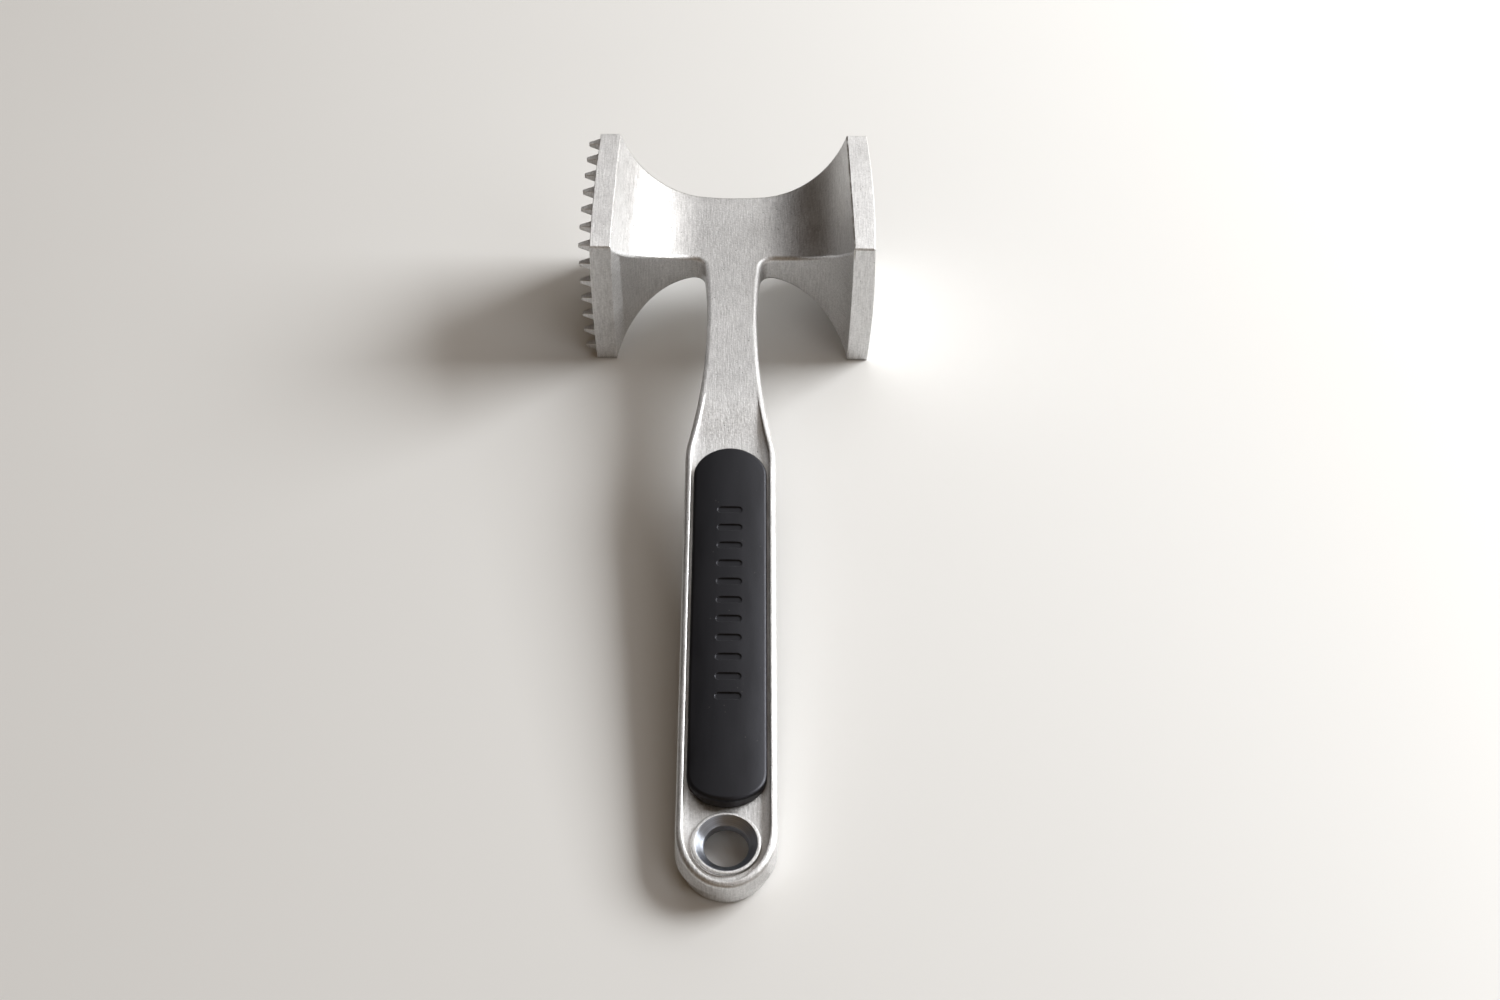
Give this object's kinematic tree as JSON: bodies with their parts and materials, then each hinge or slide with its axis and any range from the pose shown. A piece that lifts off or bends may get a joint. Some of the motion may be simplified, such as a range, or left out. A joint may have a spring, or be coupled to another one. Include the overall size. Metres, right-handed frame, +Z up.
{
  "type": "meat mallet",
  "caption": "Cast metal meat mallet with a square toothed face and a square smooth face on a hollow-sided head, an open-channel handle with soft inlays on both sides and a hanging hole.",
  "frame": {"origin": "on the table, under the middle of the mallet's bounding box, with the mallet lying down on the near lower edges of its head and on the underside of its handle end", "axes": "+Y from the handle end to the head, +X from the toothed face to the smooth face, +Z up from the table; the handle slopes down to its end by 5.8 degrees"},
  "size_m": [0.0938, 0.2614, 0.0567],
  "materials": {
    "cast_aluminium": "satin, blasted and brushed die casting",
    "black_inlay": "fine matte moulded",
    "adhesive": "thin bonding film"
  },
  "bodies": {
    "root": {"body_casting": "cast_aluminium", "upper_grip_inlay": "black_inlay", "lower_grip_inlay": "black_inlay", "upper_adhesive_film": "adhesive", "lower_adhesive_film": "adhesive"}
  },
  "joints": []
}
